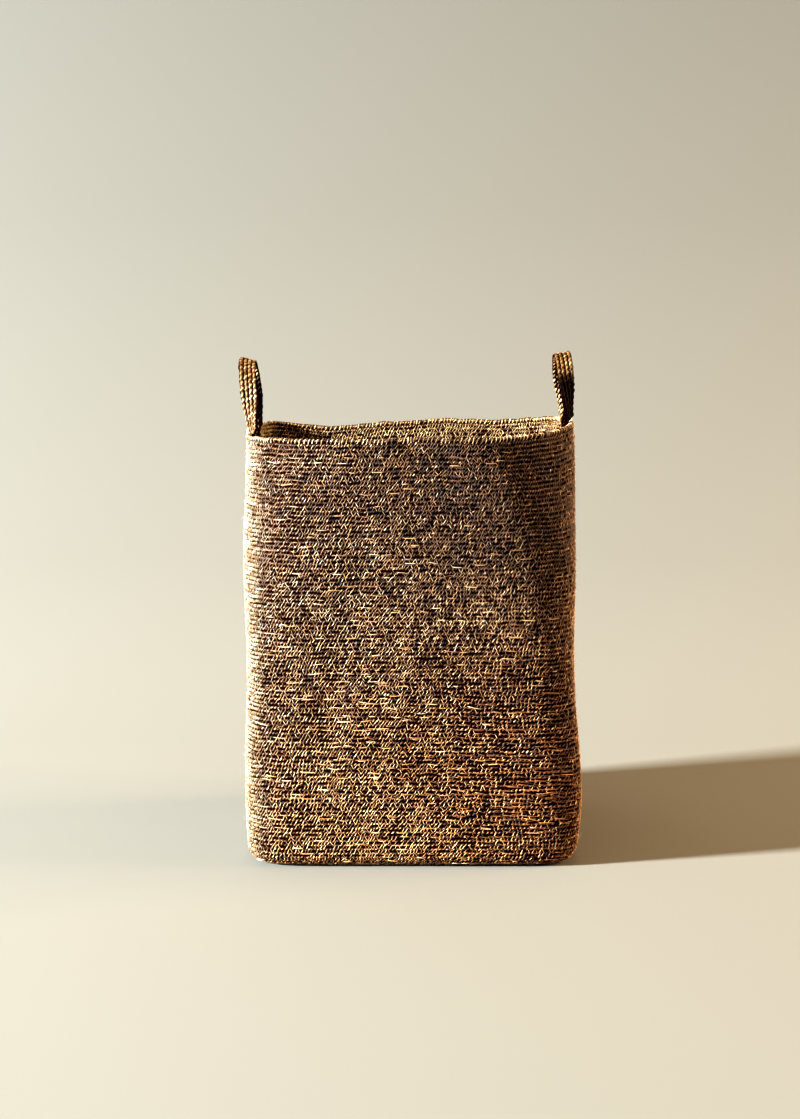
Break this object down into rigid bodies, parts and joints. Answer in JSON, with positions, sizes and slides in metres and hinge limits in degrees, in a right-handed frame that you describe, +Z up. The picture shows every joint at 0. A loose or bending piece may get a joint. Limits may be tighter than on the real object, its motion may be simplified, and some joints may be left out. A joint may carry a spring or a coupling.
{
  "type": "storage basket",
  "caption": "Tall soft-sided open basket with a rounded-square plan, sewn from rows of seagrass braid, with a strap handle standing over each side wall.",
  "frame": {"origin": "centre of the underside of the base mat, on the floor", "axes": "+Z up, -Y to the front, the two handles over the -X and +X walls"},
  "size_m": [0.3692, 0.351, 0.5338],
  "materials": {
    "seagrass_braid": "matte braided grass, tan strands with dark gaps",
    "seagrass_base": "matte braided grass",
    "seagrass_rim": "matte braided grass, whip-stitched",
    "seagrass_strap": "matte braided grass",
    "sewing_twine": "matte twisted twine"
  },
  "bodies": {
    "basket": {"wall": "seagrass_braid", "base_mat": "seagrass_base", "rim_row": "seagrass_rim", "left_handle_front_tail": "seagrass_strap", "left_handle_front_lashing": "sewing_twine", "left_handle_back_tail": "seagrass_strap", "left_handle_back_lashing": "sewing_twine", "right_handle_front_tail": "seagrass_strap", "right_handle_front_lashing": "sewing_twine", "right_handle_back_tail": "seagrass_strap", "right_handle_back_lashing": "sewing_twine"},
    "left_handle": {"left_handle_braid_1": "seagrass_strap", "left_handle_braid_2": "seagrass_strap", "left_handle_braid_3": "seagrass_strap", "left_handle_braid_4": "seagrass_strap"},
    "right_handle": {"right_handle_braid_1": "seagrass_strap", "right_handle_braid_2": "seagrass_strap", "right_handle_braid_3": "seagrass_strap", "right_handle_braid_4": "seagrass_strap"}
  },
  "joints": [
    {"name": "left_handle_flop", "type": "hinge", "parent": "basket", "child": "left_handle", "pos_m": [-0.1701, 0, 0.4542], "axis": [0, 1, 0], "range_deg": [-90, 90], "stiffness_Nm_per_rad": 0.03},
    {"name": "right_handle_flop", "type": "hinge", "parent": "basket", "child": "right_handle", "pos_m": [0.1711, 0, 0.4674], "axis": [0, 1, 0], "range_deg": [-90, 90], "stiffness_Nm_per_rad": 0.03}
  ]
}
